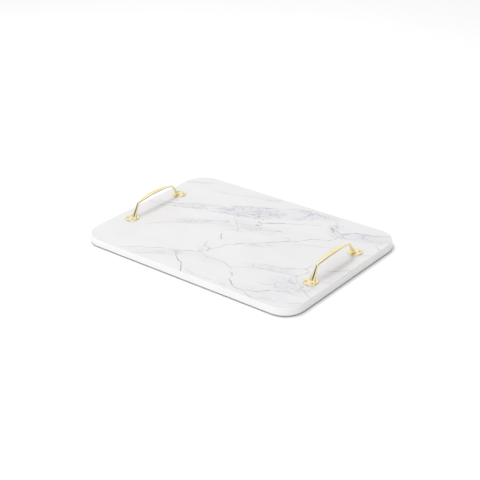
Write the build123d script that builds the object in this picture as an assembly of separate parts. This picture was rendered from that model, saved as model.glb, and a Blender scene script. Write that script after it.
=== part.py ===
from build123d import *
import os
from math import pi, sin, sqrt

# Dresser vanity tray: a laminated board with a marble-print top, white edging,
# two cast bow handles screwed on through their round roses, and four thin pads.
# Frame: millimetres, +X along the board, +Z up, origin under the board's centre
# on the surface the tray stands on.

# ---- Board -----------------------------------------------------------------
board_length = 400.0
board_width = 280.0
corner_radius = 32.0
core_thickness = 12.0
edge_thickness = 2.0          # white edging strip round the core
sheet_thickness = 0.5         # marble-print sheet on top
backing_thickness = 0.5       # brown balancing sheet underneath
corner_reveal = 1.8           # width of edging left bare at the middle of each corner

# ---- Pads ------------------------------------------------------------------
pad_diameter = 14.0
pad_thickness = 1.2
pad_inset = 30.0              # from both edges of the board to the pad's centre
pad_rim_round = 0.3

# ---- Handles ---------------------------------------------------------------
handle_inset = 26.5           # from the board's short edge to the handle's centreline
foot_spacing = 112.0          # between the centres of the two roses
rose_diameter = 22.5
rose_thickness = 1.8
rose_rim_round = 0.8
grip_height = 27.6            # top of the grip at mid span, above the board
bow_rise = 5.0                # how far the grip bows up between its shoulders
leg_lean = 16.0               # from a rose's centre in to the shoulder corner above it
shoulder_radius = 6.0
leg_root_offset = 4.5         # from the rose's centre towards the grip
grip_width = 10.4
grip_thickness = 2.8
shoulder_width = 4.8
shoulder_thickness = 2.8
shin_width = 6.2
shin_thickness = 3.0
root_width = 8.4
root_thickness = 4.2
root_flare = 2.6              # extra width and thickness where the leg meets the rose
root_height = 1.6             # above the rose, where the leg starts to flare
bow_steps = 3                 # sections between shoulder and mid span

# ---- Screws ----------------------------------------------------------------
screw_across = 5.5            # from the handle's centreline
screw_outward = 4.0           # from the rose's centre, away from the grip
screw_head_diameter = 5.4
screw_shank_diameter = 2.6
screw_root_diameter = 1.9
screw_head_sink = 0.15        # head below the rose's face
screw_tip_length = 2.0
thread_pitch = 1.1
shank_clearance = 0.3         # radial, through the rose and the sheet
wood_under_tip = 2.3
recess_width = 0.75
recess_span = 2.9
recess_depth = 1.0

# ---- Levels ----------------------------------------------------------------
backing_bottom = pad_thickness
core_bottom = backing_bottom + backing_thickness
sheet_bottom = core_bottom + core_thickness
board_top = sheet_bottom + sheet_thickness
rose_top = board_top + rose_thickness
screw_top = rose_top - screw_head_sink
screw_tip = core_bottom + wood_under_tip
screw_length = screw_top - screw_tip
handle_x = board_length / 2 - handle_inset
rose_y = foot_spacing / 2
sheet_corner_radius = corner_radius + corner_reveal / (sqrt(2) - 1)


def slab(length, width, radius, bottom, thickness):
    """A flat rectangular plate with rounded corners."""
    outline = RectangleRounded(length, width, radius)
    return Pos(0, 0, bottom) * extrude(outline, thickness)


def screw_places(side):
    """Centres of the four screws of one handle, near foot first."""
    for end in (-1, 1):
        for across in (-1, 1):
            x = side * handle_x + across * screw_across
            y = end * (rose_y + screw_outward)
            yield x, y


def all_screw_places():
    return [place for side in (-1, 1) for place in screw_places(side)]


def make_core():
    inner_radius = corner_radius - edge_thickness
    core = slab(board_length - 2 * edge_thickness, board_width - 2 * edge_thickness,
                inner_radius, core_bottom, core_thickness)
    pilot_depth = sheet_bottom - screw_tip
    for x, y in all_screw_places():
        core -= Pos(x, y, sheet_bottom - pilot_depth / 2) * Cylinder(screw_root_diameter / 2, pilot_depth)
    return core


def make_edging():
    outer = slab(board_length, board_width, corner_radius, core_bottom, core_thickness)
    inner = slab(board_length - 2 * edge_thickness, board_width - 2 * edge_thickness,
                 corner_radius - edge_thickness, core_bottom, core_thickness)
    return outer - inner


def make_marble_sheet():
    sheet = slab(board_length, board_width, sheet_corner_radius, sheet_bottom, sheet_thickness)
    hole_radius = screw_shank_diameter / 2 + shank_clearance
    for x, y in all_screw_places():
        sheet -= Pos(x, y, sheet_bottom) * Cylinder(hole_radius, 4 * sheet_thickness)
    return sheet


def make_backing():
    return slab(board_length, board_width, corner_radius, backing_bottom, backing_thickness)


def make_pad(x, y):
    pad = Pos(x, y, pad_thickness / 2) * Cylinder(pad_diameter / 2, pad_thickness)
    rim = pad.edges().filter_by(GeomType.CIRCLE).sort_by(Axis.Z)[0]
    return fillet(rim, pad_rim_round)


def handle_path():
    """Centreline of leg, bowed grip and leg, in the plane across the board."""
    middle = grip_height - grip_thickness / 2
    shoulder = middle - bow_rise
    half = rose_y - leg_lean
    root = rose_y - leg_root_offset
    foot = rose_thickness / 2
    with BuildLine(Plane.YZ) as line:
        Line((-root, foot), (-half, shoulder))
        ThreePointArc((-half, shoulder), (0, middle), (half, shoulder))
        Line((half, shoulder), (root, foot))
        corners = line.vertices().filter_by(lambda v: v.Z > foot + 1)
        fillet(corners, shoulder_radius)
    return line.wire()


def strap_section(path, distance, width, thickness):
    """An oval across the strap, at a distance along its centreline."""
    place = path.position_at(distance, position_mode=PositionMode.LENGTH)
    along = path.tangent_at(distance, position_mode=PositionMode.LENGTH)
    plane = Plane(origin=place, x_dir=(1, 0, 0), z_dir=along)
    return plane * Ellipse(width / 2, thickness / 2)


def root_section(path, distance, direction):
    """The level, flared oval where a leg stands inside its rose."""
    place = path.position_at(distance, position_mode=PositionMode.LENGTH)
    plane = Plane(origin=place, x_dir=(1, 0, 0), z_dir=(0, 0, direction))
    return plane * Ellipse((root_width + root_flare) / 2, (root_thickness + root_flare) / 2)


def half_stations(path):
    """Distance, width and thickness of each oval, from one leg's root to mid span."""
    leg, bend = [edge.length for edge in path.order_edges()[:2]]
    bow = path.length / 2 - leg - bend
    stations = [
        (rose_thickness + root_height, root_width, root_thickness),
        (leg / 2, shin_width, shin_thickness),
        (leg, shoulder_width, shoulder_thickness),
        (leg + bend / 2, shoulder_width, shoulder_thickness),
    ]
    for step in range(bow_steps + 1):
        share = step / bow_steps
        swell = sin(share * pi / 2)
        width = shoulder_width + (grip_width - shoulder_width) * swell
        stations.append((leg + bend + bow * share, width, grip_thickness))
    return stations


def make_strap():
    """Leg, grip and leg as one smooth body, standing on the rose level."""
    path = handle_path()
    total = path.length
    half = half_stations(path)
    whole = half + [(total - distance, width, thick) for distance, width, thick in reversed(half[:-1])]
    ovals = [strap_section(path, *station) for station in whole]
    return loft([root_section(path, 0, 1), *ovals, root_section(path, total, -1)])


def make_rose(y):
    rose = Pos(0, y, rose_thickness / 2) * Cylinder(rose_diameter / 2, rose_thickness)
    rim = rose.edges().filter_by(GeomType.CIRCLE).sort_by(Axis.Z)[-1]
    return fillet(rim, rose_rim_round)


def make_handle(side):
    handle = make_strap() + make_rose(-rose_y) + make_rose(rose_y)
    handle = Pos(side * handle_x, 0, board_top) * handle
    head_radius = screw_head_diameter / 2 + screw_head_sink
    hole_radius = screw_shank_diameter / 2 + shank_clearance
    cone_height = head_radius - hole_radius
    for x, y in screw_places(side):
        sink = Pos(x, y, rose_top - cone_height / 2) * Cone(hole_radius, head_radius, cone_height)
        handle -= sink
        handle -= Pos(x, y, board_top + rose_thickness / 2) * Cylinder(hole_radius, 2 * rose_thickness)
    return handle


def screw_outline():
    """Half section of a countersunk wood screw, head at zero and tip pointing down."""
    head = screw_head_diameter / 2
    shank = screw_shank_diameter / 2
    root = screw_root_diameter / 2
    thread_top = -(rose_thickness + sheet_thickness)
    threads = int((screw_length + thread_top - screw_tip_length) / thread_pitch)
    points = [(0, 0), (head, 0), (shank, shank - head), (shank, thread_top)]
    for turn in range(threads):
        valley = thread_top - (turn + 0.5) * thread_pitch
        points += [(root, valley), (shank, valley - thread_pitch / 2)]
    points.append((0, -screw_length))
    return points


def make_screw(x, y):
    with BuildSketch(Plane.XZ) as section:
        with BuildLine():
            Polyline(*screw_outline(), close=True)
        make_face()
    body = revolve(section.sketch, Axis.Z, 360)
    for turn in (0, 90):
        slot = Box(recess_span, recess_width, 2 * recess_depth)
        body -= Rot(0, 0, 45 + turn) * slot
    return Pos(x, y, screw_top) * body


def save(shape, name):
    shape.label = name
    export_step(shape, f"parts/{name}.step")


def main():
    os.makedirs("parts", exist_ok=True)
    save(make_core(), "core_board")
    save(make_edging(), "edge_strip")
    save(make_marble_sheet(), "marble_top_sheet")
    save(make_backing(), "backing_sheet")
    sides = {"left": -1, "right": 1}
    ends = {"front": -1, "back": 1}
    for side, sx in sides.items():
        save(make_handle(sx), f"{side}_handle")
        for index, (x, y) in enumerate(screw_places(sx), start=1):
            save(make_screw(x, y), f"{side}_handle_screw_{index}")
        for end, sy in ends.items():
            x = sx * (board_length / 2 - pad_inset)
            y = sy * (board_width / 2 - pad_inset)
            save(make_pad(x, y), f"{end}_{side}_pad")


main()
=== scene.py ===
# %% Load the measured model
import math

import bmesh
import bpy
from mathutils import Matrix, Vector


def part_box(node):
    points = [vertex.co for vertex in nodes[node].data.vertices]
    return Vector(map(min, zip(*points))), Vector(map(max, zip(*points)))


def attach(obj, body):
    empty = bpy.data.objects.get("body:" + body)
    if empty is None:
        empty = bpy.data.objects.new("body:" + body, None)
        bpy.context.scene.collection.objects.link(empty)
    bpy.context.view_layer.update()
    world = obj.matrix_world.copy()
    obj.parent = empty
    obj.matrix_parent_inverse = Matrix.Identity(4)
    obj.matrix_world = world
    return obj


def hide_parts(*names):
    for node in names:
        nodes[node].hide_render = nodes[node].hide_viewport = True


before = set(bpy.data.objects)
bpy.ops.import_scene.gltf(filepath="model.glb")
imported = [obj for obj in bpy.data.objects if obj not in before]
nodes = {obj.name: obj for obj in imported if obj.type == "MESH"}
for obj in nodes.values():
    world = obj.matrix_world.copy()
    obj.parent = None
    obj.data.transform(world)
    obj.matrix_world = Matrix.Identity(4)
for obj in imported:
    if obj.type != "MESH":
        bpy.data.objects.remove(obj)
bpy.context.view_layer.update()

# %% [markdown]
# # A dresser vanity tray
# This lesson dresses a measured tray: a white-edged board with a marble-print top, four low pads
# underneath, and a polished bow handle near each end. The measured model above gives every size,
# in metres, so a piece that is built here takes its place from it.
#
# The lesson goes in this order: where the camera stands, how a finish is written as a sum, how the
# studio is lit, the marble print, the plain finishes of the board, and last the two handles, which
# are the only pieces that are modelled again here.

# %% [markdown]
# ## Sizes that everything else uses
# A maker thinks in millimetres and Blender in metres, so one value, mm, turns one into the other.
# The board's own sizes are read from the measured nodes, so they can't drift from them.

# %% Sizes
mm = 0.001
edge_low, edge_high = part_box("edge_strip")
sheet_low, sheet_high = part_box("marble_top_sheet")
board_length = edge_high.x - edge_low.x
board_width = edge_high.y - edge_low.y
board_top = sheet_high.z
print("board", round(board_length / mm), "x", round(board_width / mm), "mm, top at",
      round(board_top / mm, 1), "mm")

# %% [markdown]
# ## Camera
# The camera looks down on the tray from beyond its front right corner. The lens is long, so the
# board's sides stay almost parallel, as they look from across a room.
# The direction is given as two angles and a small roll. From them come the camera's own right, up
# and backward arrows, and those three arrows and a place are all that a camera's matrix holds.

# %% Camera
view_turn = math.radians(39.70)      # from looking straight along the board's width
view_drop = math.radians(27.04)      # below level
view_roll = math.radians(-1.52)
view_distance = 1663.5 * mm
view_target = Vector((11.5 * mm, -13.4 * mm, board_top))

forward = Vector((-math.sin(view_turn) * math.cos(view_drop),
                  math.cos(view_turn) * math.cos(view_drop),
                  -math.sin(view_drop)))
level_right = Vector((math.cos(view_turn), math.sin(view_turn), 0))
level_up = level_right.cross(forward)
right = math.cos(view_roll) * level_right + math.sin(view_roll) * level_up
up = math.cos(view_roll) * level_up - math.sin(view_roll) * level_right

camera_data = bpy.data.cameras.new("camera")
camera_data.sensor_width = 36
camera_data.lens = 82.5
camera_data.clip_end = 50
camera = bpy.data.objects.new("camera", camera_data)
bpy.context.scene.collection.objects.link(camera)
facing = Matrix((right, up, -forward)).transposed().to_4x4()
camera.matrix_world = Matrix.Translation(view_target - forward * view_distance) @ facing
bpy.context.scene.camera = camera
print("camera at", [round(c, 3) for c in camera.matrix_world.translation])

# %% [markdown]
# ## Finishes as sums
# A finish in Blender is a graph of nodes, and a long graph is hard to read as code. So one small
# class, Value, wraps an output socket and lets Python's own signs add the Math nodes: 1 - mask
# becomes a subtraction node. The turned-round forms, such as __rsub__, are what Python calls when
# the plain number comes first.

# %% The Value class
class Value:
    """An output socket that can be used in a sum."""

    def __init__(self, graph, socket):
        self.graph, self.socket = graph, socket

    def math(self, operation, *others):
        return self.graph.add("ShaderNodeMath", {"operation": operation}, self, *others)

    def __add__(self, other):
        return self.math("ADD", other)

    def __sub__(self, other):
        return self.math("SUBTRACT", other)

    def __rsub__(self, other):
        return self.graph.add("ShaderNodeMath", {"operation": "SUBTRACT"}, other, self)

    def __mul__(self, other):
        return self.math("MULTIPLY", other)

    def __truediv__(self, other):
        return self.math("DIVIDE", other)

    def __abs__(self):
        return self.math("ABSOLUTE")

    __radd__ = __add__
    __rmul__ = __mul__

    def most(self, other):
        return self.math("MAXIMUM", other)

    def least(self, other):
        return self.math("MINIMUM", other)

    def along(self, direction):
        """How far a place lies along a direction; a vector in, a number out."""
        direction = (*direction, 0)[:3]
        return self.graph.add("ShaderNodeVectorMath", {"operation": "DOT_PRODUCT"}, self, direction)

    def step(self, low, high):
        """0 below low, 1 above high, with a smooth rise between."""
        return self.graph.add("ShaderNodeMapRange", {"interpolation_type": "SMOOTHSTEP"},
                              self, low, high, 0.0, 1.0)


# %% [markdown]
# ## One method for every other node
# A second class, Graph, holds the node tree. Its method add takes a node's type, then its settings,
# which come first because they decide which sockets the node has, and then what goes into those
# sockets, in order or by name. Finish is the Graph of one material.

# %% The Graph and Finish classes
class Graph:
    """A node tree that is filled by add."""

    def __init__(self, tree):
        self.tree = tree
        self.tree.nodes.clear()

    def add(self, kind, settings, *inputs, out=None, **named):
        node = self.tree.nodes.new(kind)
        for key, value in settings.items():
            if key == "curve":
                fill_curve(node, value)
            else:
                setattr(node, key, value)
        shown = [socket for socket in node.inputs if socket.enabled]
        pairs = list(zip(shown, inputs))
        pairs += [(node.inputs[key.replace("_", " ")], value) for key, value in named.items()]
        for socket, value in pairs:
            if isinstance(value, Value):
                self.tree.links.new(value.socket, socket)
            else:
                socket.default_value = value
        outputs = [socket for socket in node.outputs if socket.enabled]
        if not outputs:
            return None
        return Value(self, node.outputs[out] if out else outputs[0])


def fill_curve(node, points):
    """Draws a Float Curve through points that run from 0 to 1."""
    curve = node.mapping.curves[0]
    for place, (x, y) in zip(curve.points, (points[0], points[-1])):
        place.location = (x, y)
    for x, y in points[1:-1]:
        curve.points.new(x, y)
    for point in curve.points:
        point.handle_type = "AUTO_CLAMPED"
    node.mapping.update()


class Finish(Graph):
    """The node material of one finish."""

    def __init__(self, name):
        self.material = bpy.data.materials.new(name)
        self.material.use_nodes = True
        super().__init__(self.material.node_tree)
        self.place = self.add("ShaderNodeTexCoord", {}, out="Object")

    def noise(self, size, detail=2.0, roughness=0.5, at=None):
        """Smooth noise whose blobs are about that size; 0.5 on average."""
        return self.add("ShaderNodeTexNoise", {}, Vector=at or self.place, Scale=1 / size,
                        Detail=detail, Roughness=roughness)

    def mix(self, share, first, second):
        """From the first colour to the second."""
        return self.add("ShaderNodeMix", {"data_type": "RGBA"}, share, first, second)

    def bump(self, height, distance, strength):
        return self.add("ShaderNodeBump", {}, Height=height, Distance=distance, Strength=strength)

    def surface(self, **values):
        """The shader itself, and the output."""
        shader = self.add("ShaderNodeBsdfPrincipled", {}, **values)
        self.add("ShaderNodeOutputMaterial", {}, shader)
        return self.material


# %% [markdown]
# ## Two small helpers
# White and grey turn up often, so grey writes one colour from one number. A measured node keeps its
# mesh and only its finish is exchanged, slot by slot, which is what dress does.

# %% Small helpers for finishes
def grey(level):
    return (level, level, level, 1)


def dress(node_name, material):
    """Gives a measured node a better finish."""
    for slot in nodes[node_name].material_slots:
        slot.material = material


print("helpers ready for", len(nodes), "nodes")

# %% [markdown]
# ## Studio floor
# The tray stands on a sheet of plain white paper. Its colour is close to the whitest that paper
# gets, so with the light below it comes out pure white except in the shadows.

# %% Floor
def make_floor(size):
    bm = bmesh.new()
    bmesh.ops.create_grid(bm, x_segments=1, y_segments=1, size=size / 2)
    mesh = bpy.data.meshes.new("studio_floor")
    bm.to_mesh(mesh)
    bm.free()
    floor = bpy.data.objects.new("studio_floor", mesh)
    bpy.context.scene.collection.objects.link(floor)
    return floor


white_paper = Finish("white paper")
paper_tone = white_paper.noise(400 * mm).step(0.2, 0.8)
floor_finish = white_paper.surface(Base_Color=white_paper.mix(paper_tone, grey(0.965), grey(0.98)),
                                   Roughness=0.8)
floor = make_floor(14.0)
floor.data.materials.append(floor_finish)
print("floor laid")

# %% [markdown]
# ## Soft boxes
# Two square lights do most of the work. The key hangs high, a little to the left, so shadows are
# short and fall to the right. The fill stands low in front and brightens the board's long edge.
# Both are kept out of mirror reflections, because a bare lamp in polished metal burns out to white.

# %% Soft boxes
def soft_box(name, place, size, watts):
    """A square area light that faces the tray and doesn't show in polished metal."""
    light = bpy.data.lights.new(name, "AREA")
    light.shape = "SQUARE"
    light.size = size
    light.energy = watts
    lamp = bpy.data.objects.new(name, light)
    bpy.context.scene.collection.objects.link(lamp)
    toward_tray = Vector(place).to_track_quat("Z", "Y").to_matrix().to_4x4()
    lamp.matrix_world = Matrix.Translation(place) @ toward_tray
    lamp.visible_glossy = False


soft_box("key_box", (-0.55, 0.14, 2.00), 0.62, 12.5)
soft_box("front_fill", (0.10, -2.20, 1.10), 1.00, 14.0)
print("two soft boxes placed")

# %% [markdown]
# ## The studio's air
# The world lights the tray from all round, and it is also what the polished handles mirror. In a
# studio, white sheets hang where metal should look bright and black cards where it needs a dark
# line. We do the same with numbers: each sheet or card is a round patch of sky in one direction,
# and the dot product with that direction says how near its middle we are looking.

# %% The studio's air
world = bpy.data.worlds.new("studio_air")
bpy.context.scene.world = world
world.use_nodes = True
air = Graph(world.node_tree)
looking = air.add("ShaderNodeTexCoord", {}, out="Generated")


def sky_patch(turn, height, inner, outer):
    """1 inside a round patch of sky and 0 outside; all four in degrees."""
    turn, height = math.radians(turn), math.radians(height)
    level = math.cos(height)
    middle = (math.cos(turn) * level, math.sin(turn) * level, math.sin(height))
    return looking.along(middle).step(math.cos(math.radians(outer)), math.cos(math.radians(inner)))


white_sheets = (0.26 * sky_patch(130, 30, 15, 45) + 0.55 * sky_patch(-152, 12, 5, 16)
                + 0.30 * sky_patch(-50, 25, 10, 32) + 0.50 * sky_patch(165, 72, 10, 35))
black_cards = (0.80 * sky_patch(178, 4, 6, 17) + 0.85 * sky_patch(-108, 20, 15, 31)
               + 0.85 * sky_patch(32, 22, 16, 38))
background = air.add("ShaderNodeBackground", {}, Strength=0.98 + white_sheets - black_cards)
air.add("ShaderNodeOutputWorld", {}, background)
bpy.context.scene.view_settings.view_transform = "Standard"
bpy.context.scene.view_settings.look = "None"
print("world:", len(world.node_tree.nodes), "nodes")

# %% [markdown]
# ## The marble print: where the veins run
# The top of the board is a printed sheet: an off-white ground, soft grey-lavender clouds, and
# veins that run from the left front to the right back. Noise alone gives veins that wander
# anywhere, so the main ones are drawn on purpose. Each has half a width and a few points, in
# millimetres from the board's middle, and each point says how dark the vein is there, from 0 to 1.
# Where a list ends at 0 the vein fades out. The long strands come first, then the right-hand end
# of the board, and last the faint veins that are more like mist.

# %% Vein points: along the board, across it, darkness
veins = {
    "long back, left end": (2.4, [(-200, 13, .3), (-190, 9.5, .35), (-182, 12, .5), (-176, 10, .3),
        (-170, 9.5, .6), (-164, 12, .45), (-158, 17, .35), (-152, 19, .75), (-145, 22.5, .4),
        (-139, 24, .55), (-133, 25, .5), (-127, 28, .5), (-121, 31, .7), (-116, 31, .45),
        (-109, 36, .5), (-106, 37, 0)]),
    "upper strand": (2.4, [(-192, 17, 0), (-186, 20, .35), (-180, 21, .45), (-172, 20, .5),
        (-166, 24, .6), (-160, 26.5, .65), (-155, 26, .4), (-148, 31, .6), (-140, 37, .4),
        (-130, 45, .45), (-124, 48.5, .5), (-117, 49, .25), (-110, 54, .35), (-103, 56, .65),
        (-98, 59, .4), (-90, 64, .4), (-86, 66, 0)]),
    "back ridge": (2.6, [(-82, 73, 0), (-76, 74, .4), (-69, 75, .85), (-64, 78, .55), (-56, 84, .5),
        (-50, 88, .5), (-42, 89, .4), (-36, 92, .6), (-29, 97, .5), (-22, 98.5, .95), (-17, 103, .65),
        (-10, 108, .3), (0, 112, .3), (7, 117, .4), (11, 120, .6), (18, 124, .45), (26, 127, .6),
        (35, 128.5, .7), (40, 133, .3), (44, 138, .2)]),
    "lower strand": (2.4, [(-103, 39, 0), (-98, 41, .4), (-92, 38, .3), (-86, 40, .65), (-80, 42, .45),
        (-73, 44, .7), (-68, 48, .6), (-60, 49, .4), (-50, 50, .35), (-42, 53, .55), (-34, 55, .4),
        (-28, 58, .5), (-23, 58, 0)]),
    "middle strand": (2.4, [(-95, 46, 0), (-90, 48.5, .4), (-84, 52, .45), (-76, 57, .5),
        (-67, 62, .35), (-58, 61, .3), (-47, 62, .4), (-38, 66, .4), (-30, 67, .75), (-24, 72, .5),
        (-20, 76, .3), (-18, 80, 0)]),
    "ring": (2.0, [(-30, 84, 0), (-26, 82.5, .5), (-22, 78, .45), (-19, 72, .5), (-14, 65, .7),
        (-10, 61, 0)]),
    "ring tick": (2.0, [(-20, 61, 0), (-16, 58.5, .75), (-12, 56, 0)]),
    "crossing": (1.8, [(-62, 80, 0), (-56, 75, .35), (-50, 72, .4), (-44, 65, 0)]),
    "long crossing": (1.8, [(-50, 47, 0), (-44, 42, .4), (-35, 35, .35), (-28, 27, .4), (-19, 20, .35),
        (-12, 9, .6), (-8, 3, .35), (-6, 0, 0)]),
    "knot low": (2.6, [(-5, 43, 0), (0, 41.5, .8), (2.5, 41, 1), (6, 42, 0)]),
    "knot high": (2.6, [(-7, 53, 0), (-2, 51, .75), (1, 51, .75), (6, 46, .5), (8, 43, 0)]),
    "knot tick": (2.0, [(-4.5, 65, 0), (-3, 61.5, .9), (-2, 57, 0)]),
    "middle dark": (2.2, [(3, 50, .3), (8, 55, .85), (15, 60, .95), (20, 64, .95), (25, 68, .95),
        (31, 71, .9), (34, 72, .45), (42, 76, .5), (50, 81, .6), (55, 84, .5), (61, 90, .45),
        (67, 92, .3), (73, 93, .5), (80, 99, .45), (83, 102, 0)]),
    "main, foot": (2.0, [(-9, -67, .2), (-5, -60, .6), (0, -53, .5), (4, -46, .75), (4, -39, .5),
        (9, -33, .4), (13, -30, .6), (20, -21.5, .95), (25, -17, .45), (31, -12, .5), (38, -8, .5)]),
    "main, middle": (2.0, [(37, -8, .5), (41, -2, .55), (48, 3, .6), (57.5, 11, .9), (63, 17, .5),
        (70, 24, .9), (76, 30, .45), (83, 33, .65), (88, 39, .5), (93, 48, .75)]),
    "main, shoulder": (2.0, [(93, 47, .7), (98, 53.5, .7), (105, 57, .65), (113, 61, .3),
        (121, 66, .75), (125, 71, .6), (126, 76, .75), (124, 82, .6), (122, 87, 0)]),
    "main, back": (2.6, [(120, 92, 0), (125, 93.5, .8), (132, 100, .95), (137, 106, .5), (141, 109, .9),
        (150, 112, .5), (159, 114, .5), (166, 116, .45), (175, 121, .35), (184, 127, .4),
        (190, 130, .6), (197, 134, 0)]),
    "back fork": (2.2, [(96, 121, 0), (100, 116, .55), (104, 111, .5), (109, 101, .4), (114, 97, .55),
        (120, 94, .4), (126, 93, 0)]),
    "back blot": (4.2, [(90, 104, 0), (98, 101, .4), (104, 98.5, .95), (108, 95, .8), (111, 89, 0)]),
    "back tick": (2.0, [(104, 119, 0), (109, 117, .4), (113, 114, .55), (119, 112, 0)]),
    "back edge": (2.6, [(48, 129, 0), (56, 127.5, .45), (61, 126, .7), (66, 126, .4), (71, 125, .65),
        (78, 127, .25), (88, 127, 0)]),
    "join": (2.2, [(53, 30, 0), (61, 31.5, .4), (68, 34, .55), (74, 30, .5), (77, 29, 0)]),
    "right soft": (2.2, [(78, 21, 0), (88, 26, .25), (97, 29, .35), (106, 32, .35), (115, 38, .45),
        (124, 40.5, .4), (132, 44, .35), (140, 46, .5), (150, 48, .2), (162, 50, 0)]),
    "inner soft": (2.8, [(3, 28, 0), (14, 32, .25), (26, 37, .3), (36, 42, .5), (41, 44, .6),
        (46, 47, 0)]),
    "left low": (2.2, [(-143, -57, 0), (-138, -52, .45), (-132, -44, .4), (-128, -40, .6),
        (-123, -33, .5), (-118, -29, .55), (-112, -28, .5), (-104, -22, .5), (-98, -18, .5),
        (-94, -9, .35), (-86, -2, .35), (-78, 4, .3), (-70, 9.5, .5), (-60, 17, .4), (-50, 21, .2),
        (-40, 24, 0)]),
    "left echo": (2.4, [(-95, -18, 0), (-87, -14, .35), (-80, -6, .25), (-74, -1, .35), (-64, 3, .35),
        (-54, 8, .2), (-44, 10, 0)]),
    "dot": (3.0, [(-49, 23, 0), (-44, 25.5, .75), (-40, 27, 0)]),
    "hook": (2.4, [(-34, -14, 0), (-30, -5, .3), (-26, 4, .4), (-20, 8, .5), (-12, 8, .4), (-6, 5, 0)]),
    "slash": (1.9, [(-26, -12, 0), (-22.5, -17, .8), (-19, -21.5, .7), (-15, -25, .75), (-11, -29, 0)]),
    "front left": (2.2, [(-123, -140, .25), (-113, -131, .35), (-105, -126, .65), (-97, -119, .5),
        (-89, -117, .4), (-79, -110, .5), (-70, -103, .65), (-61, -100, .3), (-52, -98.5, .65),
        (-43, -95, .6), (-34, -90, .5), (-28, -85, .6), (-18, -80, .45), (-8, -78, .55), (-3, -80, .3)]),
    "front echo": (2.8, [(-97, -140, .2), (-84, -134, .4), (-76, -128, .5), (-66, -122, .4),
        (-56, -118, .4), (-46, -112, .35), (-33, -112, 0)]),
    "front dark": (1.6, [(-48, -87, 0), (-44, -95, .45), (-38, -103, .7), (-31, -110, .85),
        (-25, -114.5, 1), (-17, -118.5, 1), (-10, -123, .9), (-5, -129, .95), (1, -136, 1),
        (5, -141, .9)]),
    "front upper": (1.8, [(-28, -43, 0), (-25, -50, .6), (-21.5, -58, .65), (-15, -60, .4),
        (-9, -62, .6), (-6, -67, .65), (-6, -73, 0)]),
    "front stub": (2.2, [(-19, -70, 0), (-15, -76, .6), (-10, -79, 0)]),
    "front middle": (1.9, [(-6, -78, .5), (0, -82.5, .45), (6, -84, .6), (12, -82, .55), (19, -82, .65),
        (26, -82, .5), (33, -82, .6), (41, -84, .6), (48, -87, .55), (53, -88, .65), (58, -91, .3),
        (61, -96, 0)]),
    "front hook": (1.8, [(60, -100, .3), (66, -101.5, .65), (71, -105, .75), (76, -111, 0)]),
    "front right": (1.9, [(73, -113, 0), (76, -118, .85), (82, -122, .85), (87, -125.5, .85),
        (95, -129, .7), (103, -131, .6), (112, -131.5, .4), (121, -135, .55), (129, -138, .75),
        (138, -137, .35), (147, -132, .5), (157, -129, .3), (172, -129, 0)]),
    "right low": (2.3, [(53, -89, 0), (62, -82, .25), (70, -77, .3), (78, -73, .4), (86, -68, .3),
        (91, -66, .55), (100, -63, .4), (109, -61, .45), (118, -59, .45), (127, -57, .5),
        (137, -55, .4), (147, -53, .5), (150, -50, 0)]),
    "right high": (2.3, [(84, -56, 0), (96, -52, .35), (106, -50, .3), (117, -47, .45), (127, -40, .65),
        (137, -35, .35), (145, -29, .7), (150, -29, .5), (157, -34, .4), (165, -40, 0)]),
    "right stem": (1.7, [(148, -10, 0), (147, -17, .5), (147.5, -23, .6), (147, -29, .6)]),
    "right loop": (1.9, [(153, -31, 0), (154, -38, .55), (150, -47, .4), (147, -53, .6), (150, -60, .5),
        (156, -65, .45)]),
    "right tail": (2.2, [(155, -64, .45), (162, -68, .4), (169, -73, .6), (174, -79, .5),
        (182, -83, .5), (190, -88, .45), (201, -93, .3)]),
    "right foot": (2.4, [(171, -70, .3), (172.5, -78, .7), (172, -86, .3), (172, -90, 0)]),
    "right end": (2.2, [(171, -18, 0), (176, -14, .55), (183, -9, .6), (190, -5, .45), (195, 2, .5),
        (202, 6, .4)]),
    "right end low": (2.0, [(183, -50, 0), (187, -47, .5), (192, -43, .45), (203, -42, .25)]),
    "right corner": (2.3, [(108, -132, 0), (117, -125.5, .4), (127, -122, .65), (134, -117, .55),
        (138, -111, .75), (145, -107, .35), (153, -103, .6), (159, -98, .55), (166, -96, .6),
        (173, -99, .35), (188, -96, 0)]),
    "right corner echo": (2.4, [(108, -102, 0), (119, -99, .35), (129, -96, .45), (135, -91, 0)]),
    "corner edge": (2.6, [(178, -125, 0), (186, -120, .35), (192, -115, .4), (198, -110, .2)]),
    "back corner": (2.4, [(183, 91, 0), (188, 89, .4), (195, 86, .45), (201, 78, .3)]),
    "right rim": (2.2, [(183, 56, 0), (191, 56, .4), (202, 63, .3)]),
    "far left mist": (6.5, [(-205, 96, .25), (-190, 106, .28), (-172, 115, .3), (-158, 122, .22),
        (-145, 129, 0)]),
    "back mist": (6.0, [(-145, 97, 0), (-122, 104, .16), (-110, 105, .25), (-92, 111, .12),
        (-74, 118, .28), (-55, 122, .18), (-36, 125, .3), (-28, 130, .35), (-18, 136, 0)]),
    "front mist": (3.0, [(3, -131, .15), (20, -134, .32), (36, -135, .25), (50, -134, .25),
        (60, -132, 0)]),
    "front mist right": (3.0, [(67, -134, 0), (78, -133.5, .4), (88, -132, 0)]),
}
print(len(veins), "veins,", sum(len(points) for _, points in veins.values()), "points")

# %% [markdown]
# ## Clouds
# Between the veins the ink thins out into clouds, which are soft ovals. Each is given by its middle,
# its half length and half width in millimetres, its turn in degrees, and its strength.

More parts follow.
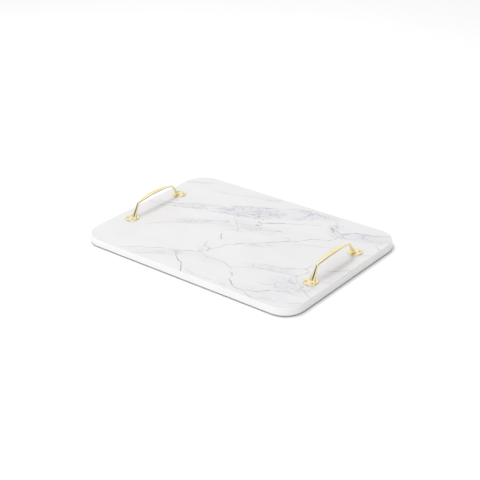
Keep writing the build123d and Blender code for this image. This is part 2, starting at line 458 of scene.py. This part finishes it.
# %% Cloud places: along, across, half length, half width, turn, strength
clouds = [
    (-38, 68, 62, 24, 20, .80), (-6, 80, 36, 20, 25, .60), (22, 108, 46, 17, 25, .45),
    (44, 101, 30, 10, 35, .60), (62, 125, 48, 15, 5, .50), (104, 103, 16, 14, -60, .60),
    (135, 95, 42, 22, 20, .55), (176, 108, 36, 24, 20, .50), (-112, 41, 62, 14, 22, .45),
    (-88, -4, 48, 13, 30, .45), (-22, 26, 48, 26, 20, .40), (30, 36, 42, 18, 20, .35),
    (48, -8, 34, 9, 35, .45), (0, -90, 45, 16, 0, .28), (-15, -66, 15, 13, 0, .45),
    (-70, -117, 46, 9, 27, .40), (102, -57, 52, 13, 15, .40), (156, -78, 46, 36, 10, .50),
    (140, -122, 58, 20, 5, .32), (184, -20, 24, 70, 0, .25), (-38, -101, 13, 9, 30, .35),
    (-48, 128, 30, 9, 20, .25), (-30, 90, 40, 14, 25, .45), (90, 40, 60, 30, 30, .15),
]
print(len(clouds), "clouds")

# %% [markdown]
# ## Drawing one vein
# Every vein has its own frame: u runs from 0 to 1 from its first point to its last, and v is the
# distance to one side of that straight line. Both are dot products of the surface's place. A Float
# Curve on u gives the path's v, a second one gives the darkness, and what is left of v, divided by
# the half width, becomes a soft line. COMPARE is 1 only where u lies between 0 and 1.

# %% Drawing one vein
def vein(finish, place, half_width, points):
    """How much of the vein's ink is at each place, from 0 to 1."""
    spots = [Vector(point[:2]) * mm for point in points]
    chord = spots[-1] - spots[0]
    along, length = chord.normalized(), chord.length
    across = Vector((-along.y, along.x))
    shares = [(spot - spots[0]).dot(along) / length for spot in spots]
    offsets = [(spot - spots[0]).dot(across) for spot in spots]
    reach = 1.2 * max(map(abs, offsets)) + 1 * mm
    path = [(share, 0.5 + offset / (2 * reach)) for share, offset in zip(shares, offsets)]
    tones = [(share, point[2]) for share, point in zip(shares, points)]
    u = place.along(along / length) - spots[0].dot(along) / length
    v = place.along(across) - spots[0].dot(across)
    middle = (finish.add("ShaderNodeFloatCurve", {"curve": path}, Value=u) - 0.5) * (2 * reach)
    dark = finish.add("ShaderNodeFloatCurve", {"curve": tones}, Value=u)
    distance = abs(v - middle) / (half_width * mm)
    return (1 - distance).step(0.0, 1.0) * dark * u.math("COMPARE", 0.5, 0.5)


# %% Drawing one cloud
def cloud(place, x, y, half_length, half_width, degrees, strength):
    """A soft oval of ink."""
    turn = math.radians(degrees)
    middle = Vector((x, y)) * mm
    along = Vector((math.cos(turn), math.sin(turn))) / (half_length * mm)
    across = Vector((-math.sin(turn), math.cos(turn))) / (half_width * mm)
    u = place.along(along) - middle.dot(along)
    v = place.along(across) - middle.dot(across)
    return (1 - u * u - v * v).step(0.0, 0.9) * strength


# %% [markdown]
# ## Roughening the drawing
# A drawn line is too clean for stone. So before any vein is drawn, the place itself is pushed about
# a little by noise, and all veins and clouds share that ripple. The grain, a stretched and turned
# copy of the place, makes the streaks and threads below run the same way as the veins.

# %% Ripple and grain
marble = Finish("marble print")
ripple = marble.add("ShaderNodeTexNoise", {}, Vector=marble.place, Scale=1 / (16 * mm), Detail=4.0,
                    Roughness=0.62, out="Color")
ripple = marble.add("ShaderNodeVectorMath", {"operation": "SUBTRACT"}, ripple, (0.5, 0.5, 0.5))
ripple = marble.add("ShaderNodeVectorMath", {"operation": "SCALE"}, ripple, Scale=5.5 * mm)
rippled = marble.add("ShaderNodeVectorMath", {"operation": "ADD"}, marble.place, ripple)
grain = marble.add("ShaderNodeMapping", {}, marble.place, Rotation=(0, 0, math.radians(-28)),
                   Scale=(1.0, 2.4, 1.0))
print("ripple and grain:", len(marble.tree.nodes), "nodes")

# %% [markdown]
# ## Ink
# Where two veins meet, the darker one wins, so their ink is joined with a maximum and never adds up
# to black. Clouds do add up, as mist does. Both are then broken up by noise: short breaks in the
# veins, and long streaks along the grain in the clouds.

# %% Ink of the veins
ink = None
for half_width, points in veins.values():
    line = vein(marble, rippled, half_width, points)
    ink = line if ink is None else ink.most(line)
ink = ink * (0.58 + 0.52 * marble.noise(7 * mm, 3.0, 0.6).step(0.25, 0.60))
print("veins drawn:", len(marble.tree.nodes), "nodes")

# %% Ink of the clouds
mist = None
for values in clouds:
    puff = cloud(rippled, *values)
    mist = puff if mist is None else mist + puff
cloudy = mist.step(0.12, 0.70)
mist = mist.least(1.0) * (0.25 + 0.75 * marble.noise(26 * mm, 5.0, 0.62, at=grain).step(0.30, 0.72))
print("clouds drawn:", len(marble.tree.nodes), "nodes")

# %% [markdown]
# ## Threads and cracks
# In the clouds there is a net of hair-fine lines. Two cheap textures give it. Where a smooth noise
# crosses a chosen level it draws a contour, and contours of a stretched noise look like threads.
# Voronoi's distance to a cell's edge gives short cracks that meet at corners.

# %% Threads and cracks
thread_noise = marble.noise(30 * mm, 4.0, 0.55, at=grain)
threads = 1 - abs(thread_noise - 0.47).step(0.0, 0.016)
threads = threads.most(1 - abs(thread_noise - 0.56).step(0.0, 0.013))
crack_place = marble.add("ShaderNodeMapping", {}, rippled, Rotation=(0, 0, math.radians(-30)),
                         Scale=(1.0, 1.7, 1.0))
cracks = marble.add("ShaderNodeTexVoronoi", {"feature": "DISTANCE_TO_EDGE"}, Vector=crack_place,
                    Scale=1 / (21 * mm))
cracks = (1 - cracks.step(0.0, 0.095)) * marble.noise(18 * mm).step(0.40, 0.60)
net = threads.most(cracks) * cloudy
print("threads and cracks drawn:", len(marble.tree.nodes), "nodes")

# %% [markdown]
# ## Colours of the print
# The layers go on as in printing: ground, mist, net and last the veins, whose colour deepens where
# the ink is thick. The sheet has a satin varnish, so its roughness is low and changes only a little.

# %% Colours of the print
ground = marble.mix(marble.noise(60 * mm, 3.0, 0.55, at=grain).step(0.3, 0.7),
                    (0.742, 0.735, 0.739, 1), (0.718, 0.712, 0.716, 1))
misty = marble.mix(mist * 0.56, ground, (0.545, 0.535, 0.600, 1))
netted = marble.mix(net * 0.72, misty, (0.39, 0.375, 0.46, 1))
ink_colour = marble.mix(ink.step(0.35, 1.0), (0.44, 0.425, 0.50, 1), (0.27, 0.265, 0.305, 1))
printed = marble.mix(ink.least(1.0), netted, ink_colour)
skin = marble.bump(marble.noise(1.6 * mm), 0.02 * mm, 0.4)
dress("marble_top_sheet", marble.surface(
    Base_Color=printed, Roughness=0.30 + 0.08 * marble.noise(9 * mm), Normal=skin))
print("marble print:", len(marble.tree.nodes), "nodes")

# %% [markdown]
# ## White edging
# The strip round the board is lacquered, not printed. Up close lacquer is never one flat white: it
# has a slow change of tone, a change of gloss where it has been handled, and the faint orange-peel
# skin that spraying leaves. Each of those is one noise at its own size.

# %% White edging
lacquer = Finish("white lacquer")
lacquer_tone = lacquer.noise(35 * mm, 3.0).step(0.3, 0.7)
dress("edge_strip", lacquer.surface(
    Base_Color=lacquer.mix(lacquer_tone, grey(0.850), grey(0.835)),
    Roughness=0.36 + 0.10 * lacquer.noise(6 * mm),
    Normal=lacquer.bump(lacquer.noise(1.2 * mm), 0.03 * mm, 0.5)))
print("edging dressed")

# %% [markdown]
# ## Core and backing
# The core is fibreboard, which shows only in the screw holes: a felt of short pale fibres. Under
# it is a brown paper sheet that keeps the board from bowing. Its fibres are finer and its edge is
# the thin warm line that runs round the foot of the board.

# %% Core and backing
brown_paper = Finish("brown paper")
fibre = brown_paper.noise(3 * mm, 5.0, 0.7).step(0.3, 0.7)
dress("backing_sheet", brown_paper.surface(
    Base_Color=brown_paper.mix(fibre, (0.150, 0.100, 0.075, 1), (0.210, 0.150, 0.115, 1)),
    Roughness=0.62 + 0.16 * fibre, Normal=brown_paper.bump(fibre, 0.05 * mm, 0.5)))

fibreboard = Finish("fibreboard")
felt = fibreboard.noise(1.5 * mm, 5.0, 0.7).step(0.3, 0.7)
dress("core_board", fibreboard.surface(
    Base_Color=fibreboard.mix(felt, (0.30, 0.19, 0.10, 1), (0.42, 0.29, 0.17, 1)),
    Roughness=0.85, Normal=fibreboard.bump(felt, 0.1 * mm, 0.6)))
print("core and backing dressed")

# %% [markdown]
# ## Pads
# Four dark rubber pads lift the board by little more than a millimetre. Rubber is matt, grained
# like fine leather, and picks up pale dust.

# %% Pads
rubber = Finish("dusty rubber")
dust = rubber.noise(1.0 * mm, 4.0, 0.65).step(0.35, 0.7)
dusty_rubber = rubber.surface(
    Base_Color=rubber.mix(dust, (0.036, 0.035, 0.034, 1), (0.062, 0.060, 0.058, 1)),
    Roughness=0.74 + 0.12 * dust, Normal=rubber.bump(dust, 0.08 * mm, 0.7))
pads = [name for name in nodes if name.endswith("_pad")]
for name in pads:
    dress(name, dusty_rubber)
print(len(pads), "pads dressed")

# %% [markdown]
# ## Polished gold
# The handles are cast, then polished and plated. Polish is never perfect: a slow change in
# roughness, a faint waviness from the buffing wheel, and a little colour where fingers go. The
# shader is a metal, so its base colour tints whatever it mirrors, and where gold mirrors gold, at
# the foot of each leg, the colour deepens by itself.

# %% Polished gold
gold = Finish("polished gold")
gold_tone = gold.noise(14 * mm, 3.0).step(0.3, 0.7)
polished_gold = gold.surface(
    Base_Color=gold.mix(gold_tone, (0.93, 0.83, 0.54, 1), (0.91, 0.80, 0.50, 1)),
    Metallic=1.0, Roughness=0.08 + 0.08 * gold.noise(6 * mm, 3.0),
    Normal=gold.bump(gold.noise(9 * mm), 0.10 * mm, 0.35))
print("polished gold mixed")

# %% [markdown]
# ## Screw heads
# The screws are the measured ones. Their heads sit just below the roses' faces. The finish is painted
# darker with depth below the head's face, as painted shade in the cross recess, where light hardly
# reaches.

# %% Screw heads
screw_metal = Finish("plated screw")
height = screw_metal.place.along((0, 0, 1))
screw_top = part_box("left_handle_screw_1")[1].z
# Painted shade: darker, duller metal with depth below the head's face, in the cross recess.
recess_shade = ((screw_top - height) / (0.5 * mm)).step(0.05, 0.8)
plated_screw = screw_metal.surface(
    Base_Color=screw_metal.mix(recess_shade, (0.84, 0.72, 0.45, 1), (0.24, 0.18, 0.11, 1)),
    Metallic=1.0 - 0.6 * recess_shade, Roughness=0.28 + 0.35 * recess_shade)
screws = [name for name in nodes if "_screw_" in name]
for name in screws:
    dress(name, plated_screw)
print(len(screws), "screws dressed")

# %% [markdown]
# ## A bow handle
# Each handle is one casting: two round roses, two legs that flare where they meet the roses, and
# a flat grip that bows up between its shoulders. Such a strap could be a curve with a bevel, but
# its width, thickness and tilt all change on the way, and ovals joined by bridge_loops give each of
# them its own rule. The overall sizes come from the measured handle. The rest are named here.

# %% Handle sizes
handle_low, handle_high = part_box("right_handle")
handle_x = (handle_low.x + handle_high.x) / 2
rose_radius = (handle_high.x - handle_low.x) / 2
rose_y = handle_high.y - rose_radius
rose_top = board_top + 1.8 * mm
rose_rim = 0.9 * mm                  # radius of the rounded rim
screw_hole, screw_sink = 1.6 * mm, 2.85 * mm
grip_width = 10.4 * mm
shoulder_width = 4.8 * mm
crown = 1.7 * mm                     # from the middle line up to the grip's domed top
belly = 1.1 * mm                     # from the middle line down to its flatter underside
bow_length, bow_turn = 37.9 * mm, math.radians(13.35)
bend_length, bend_turn = 4.93 * mm, math.radians(47.1)
leg_length, leg_tilt = 21.0 * mm, math.radians(29.5)
leg_spread, foot_flare = 4.0 * mm, 2.4 * mm
print("handle", round((handle_high.y - handle_low.y) / mm, 1), "mm long, top",
      round((handle_high.z - board_top) / mm, 1), "mm above the board")

# %% [markdown]
# ## Walking along the handle
# To place the ovals we walk along the middle line from mid span, as a turtle would: a step, a small
# turn, a step. The bow turns slowly, the bend at the shoulder quickly, and the leg not at all. On
# the leg's last stretch the ovals tilt until they lie level, ready to meet the flat rose.

# %% The three stretches of half a handle
def bow_size(share):
    """Width, thickness and extra tilt of the strap, by share of the stretch."""
    return shoulder_width + (grip_width - shoulder_width) * math.cos(share * math.pi / 2), 1.0, 0.0


def bend_size(share):
    return shoulder_width, 1.0, 0.0


def leg_size(share):
    width = shoulder_width + leg_spread * share + foot_flare * share ** 6
    thickness = 1.0 + 0.35 * share + 1.05 * share ** 6
    return width, thickness, leg_tilt * max(0.0, share - 0.6) / 0.4


# %% Walking
def walk():
    """Place, slope and size of each oval, from mid span down to one rose."""
    y, z, slope = 0.0, handle_high.z - crown, 0.0
    ovals = [(y, z, slope, grip_width / 2, 1.0)]
    stretches = [(18, bow_length, bow_turn, bow_size), (8, bend_length, bend_turn, bend_size),
                 (22, leg_length, 0.0, leg_size)]
    for steps, length, turn, size in stretches:
        for step in range(1, steps + 1):
            run = slope + turn / steps / 2
            y -= length / steps * math.cos(run)
            z -= length / steps * math.sin(run)
            slope += turn / steps
            width, thickness, tilt = size(step / steps)
            ovals.append((y, z, slope + tilt, width / 2, thickness))
    return ovals


ovals = walk()
print(len(ovals), "ovals; the last is", round(abs(ovals[-1][0]) / mm, 1), "mm from mid span and",
      round((ovals[-1][1] - board_top) / mm, 1), "mm above the board")


# %% [markdown]
# ## From ovals to a strap
# create_circle makes each ring of points. It is pressed into an oval whose upper half is fuller
# than its lower half, leaned to the slope, and moved to its place. bridge_loops skins each pair of
# rings, and mirror makes the other half and welds it on at mid span.

# %% One oval
def add_oval(bm, x, y, z, slope, half_width, thickness):
    ring = bmesh.ops.create_circle(bm, segments=40, radius=1)["verts"]
    for point in ring:
        depth = crown if point.co.y > 0 else belly
        point.co = Vector((point.co.x * half_width, 0, point.co.y * depth * thickness))
    bmesh.ops.rotate(bm, verts=ring, matrix=Matrix.Rotation(slope, 3, "X"))
    bmesh.ops.translate(bm, verts=ring, vec=(x, y, z))
    return list({edge for point in ring for edge in point.link_edges})


# %% The strap
def make_strap(x):
    bm = bmesh.new()
    last = None
    for oval in ovals:
        edges = add_oval(bm, x, *oval)
        if last:
            bmesh.ops.bridge_loops(bm, edges=last + edges)
        last = edges
    bmesh.ops.contextual_create(bm, geom=last)
    bmesh.ops.mirror(bm, geom=bm.verts[:] + bm.edges[:] + bm.faces[:], axis="Y",
                     merge_dist=0.01 * mm)
    bmesh.ops.recalc_face_normals(bm, faces=bm.faces)
    return bm


# %% [markdown]
# ## Roses and countersinks
# A rose is turned work, so spin is the tool: we draw half of its section as a few points and spin
# them round. The same helper turns the cutters that sink the screw holes. Spin leaves a stack of
# points on the axis, so doubles are merged before the normals are made to face outwards.

# %% Turning on the lathe
def turned(centre, section, segments):
    """Spins a section, given as radius and height, round an upright line."""
    bm = bmesh.new()
    points = [bm.verts.new((centre[0] + radius, centre[1], height)) for radius, height in section]
    edges = [bm.edges.new(pair) for pair in zip(points, points[1:])]
    bmesh.ops.spin(bm, geom=points + edges, cent=(centre[0], centre[1], 0), axis=(0, 0, 1),
                   angle=math.tau, steps=segments, use_merge=True)
    bmesh.ops.remove_doubles(bm, verts=bm.verts, dist=0.002 * mm)
    bmesh.ops.recalc_face_normals(bm, faces=bm.faces)
    return bm


# %% Sections of a rose and of a screw's sink
def rose_section():
    """From the middle of the top, over a rounded rim, to the middle of the foot."""
    face_radius = rose_radius - rose_rim
    section = [(0, rose_top), (face_radius - 0.6 * mm, rose_top)]
    for step in range(7):
        angle = step / 6 * math.pi / 2
        section.append((face_radius + rose_rim * math.sin(angle),
                        rose_top - rose_rim + rose_rim * math.cos(angle)))
    return section + [(rose_radius, board_top), (0, board_top)]


def sink_section():
    """A straight hole with a cone on top, longer than the rose is thick."""
    below, above = board_top - mm, rose_top + mm
    cone_foot = rose_top - screw_sink + screw_hole
    return [(0, below), (screw_hole, below), (screw_hole, cone_foot), (screw_sink, rose_top),
            (screw_sink, above), (0, above)]


print("rose section", len(rose_section()), "points, sink section", len(sink_section()), "points")


# %% [markdown]
# ## One casting
# The strap and the roses must be one skin, or light would leak between them. Boolean modifiers
# join them and cut the holes. Each is worked out at once and its tool is thrown away, so the
# finished handle is a plain mesh, and only its sharp corners are marked as sharp.

# %% Joining and cutting
def as_object(bm, name):
    mesh = bpy.data.meshes.new(name)
    bm.to_mesh(mesh)
    bm.free()
    thing = bpy.data.objects.new(name, mesh)
    bpy.context.scene.collection.objects.link(thing)
    return thing


def combine(thing, tool, operation):
    """Joins or cuts with another object, which is then thrown away."""
    modifier = thing.modifiers.new(operation, "BOOLEAN")
    modifier.operation = operation
    modifier.solver = "EXACT"
    modifier.object = tool
    graph = bpy.context.evaluated_depsgraph_get()
    mesh = bpy.data.meshes.new_from_object(thing.evaluated_get(graph))
    thing.modifiers.clear()
    thing.data = mesh
    bpy.data.objects.remove(tool)


# %% One handle
def make_handle(side, sign):
    x = sign * handle_x
    handle = as_object(make_strap(x), f"{side}_bow_handle")
    for end in (-1, 1):
        combine(handle, as_object(turned((x, end * rose_y), rose_section(), 96), "rose"), "UNION")
    for name in screws:
        if name.startswith(side):
            low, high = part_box(name)
            cutter = turned(((low.x + high.x) / 2, (low.y + high.y) / 2), sink_section(), 48)
            combine(handle, as_object(cutter, "sink"), "DIFFERENCE")
    mesh = handle.data
    mesh.polygons.foreach_set("use_smooth", [True] * len(mesh.polygons))
    mesh.set_sharp_from_angle(angle=math.radians(32))
    mesh.materials.clear()
    mesh.materials.append(polished_gold)
    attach(handle, "root")
    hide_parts(f"{side}_handle")
    return handle


# %% Both handles
for side, sign in (("left", -1), ("right", 1)):
    handle = make_handle(side, sign)
    heights = [point.co.z for point in handle.data.vertices]
    print(handle.name, len(handle.data.polygons), "faces, from", round(min(heights) / mm, 2), "to",
          round(max(heights) / mm, 2), "mm")
